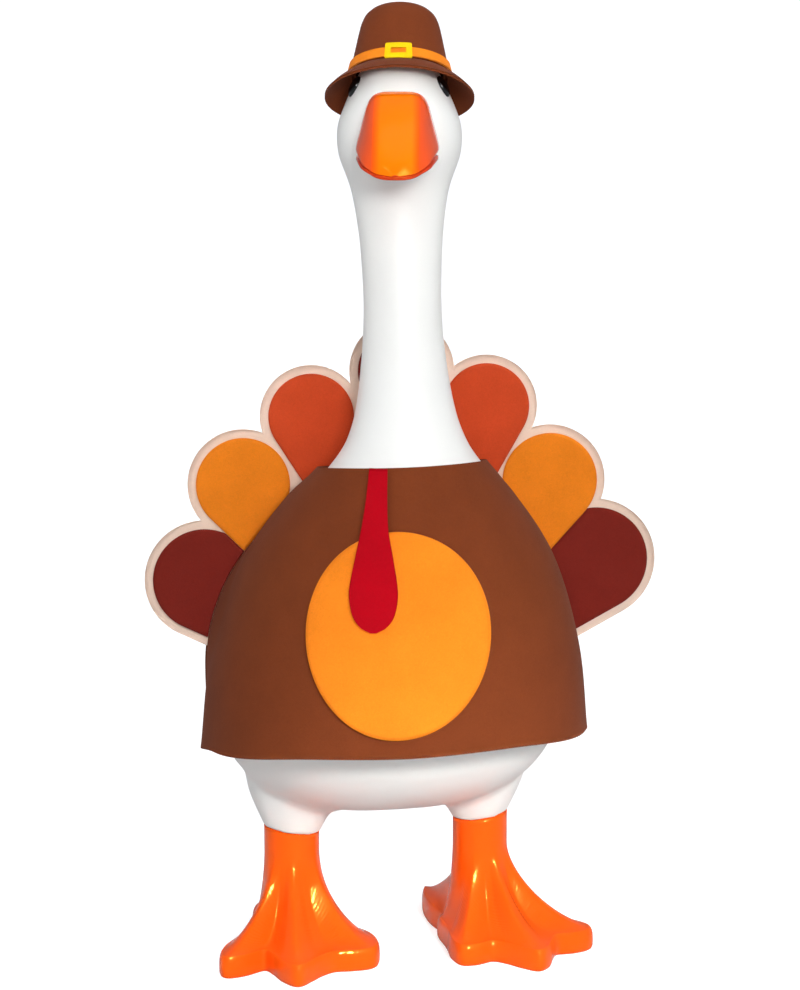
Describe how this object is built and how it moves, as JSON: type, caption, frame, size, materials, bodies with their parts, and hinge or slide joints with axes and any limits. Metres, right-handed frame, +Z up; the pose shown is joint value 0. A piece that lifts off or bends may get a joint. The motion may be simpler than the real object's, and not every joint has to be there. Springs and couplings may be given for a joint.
{
  "type": "thanksgiving goose figure",
  "caption": "Standing garden goose of hollow plastic in a felt turkey costume: buckled hat, cape with belly patch and wattle, and a fan of feathers.",
  "frame": {"origin": "on the ground, under the middle of the whole figure in x and y", "axes": "+Z up, the goose faces -Y with its head and costume turned a little towards -X, +X is on the right of the picture"},
  "size_m": [0.3358, 0.4176, 0.6241],
  "materials": {
    "white_plastic": "satin white moulded plastic",
    "orange_plastic": "glossy red-orange paint",
    "bill_orange": "glossy orange paint",
    "eye_black": "polished black",
    "brown_felt": "brown felt",
    "orange_felt": "orange felt",
    "yellow_felt": "yellow felt",
    "red_felt": "deep red felt",
    "rust_felt": "rust felt",
    "maroon_felt": "maroon felt",
    "cream_felt": "cream felt",
    "black_tape": "black hook-and-loop tape"
  },
  "bodies": {
    "goose": {"body_shell": "white_plastic", "leg_left": "orange_plastic", "leg_right": "orange_plastic", "bill_upper": "bill_orange", "bill_lower": "orange_plastic", "eye_left": "eye_black", "eye_right": "eye_black", "cape_front": "brown_felt", "cape_back_left": "brown_felt", "cape_back_right": "brown_felt", "belly_patch": "orange_felt", "closure_tab_upper": "black_tape", "closure_tab_lower": "black_tape", "fan_back": "cream_felt", "feather_1": "maroon_felt", "feather_2": "orange_felt", "feather_3": "rust_felt", "feather_4": "maroon_felt", "feather_5": "rust_felt", "feather_6": "orange_felt", "feather_7": "maroon_felt"},
    "hat": {"hat_crown": "brown_felt", "hat_brim": "brown_felt", "hat_band": "orange_felt", "hat_buckle": "yellow_felt", "hat_sweatband": "brown_felt"},
    "wattle": {"wattle": "red_felt"},
    "plug": {"fill_plug": "white_plastic"}
  },
  "joints": [
    {"name": "hat_lift", "type": "slide", "parent": "goose", "child": "hat", "axis": [0.0798, 0.3326, 0.9397], "range_m": [0, 0.09]},
    {"name": "wattle_swing", "type": "hinge", "parent": "goose", "child": "wattle", "pos_m": [-0.03657, -0.17941, 0.34015], "axis": [-0.9724, 0.2334, 0], "range_deg": [0, 100]},
    {"name": "plug_pull", "type": "slide", "parent": "goose", "child": "plug", "axis": [0, 0, -1], "range_m": [0, 0.03]}
  ]
}
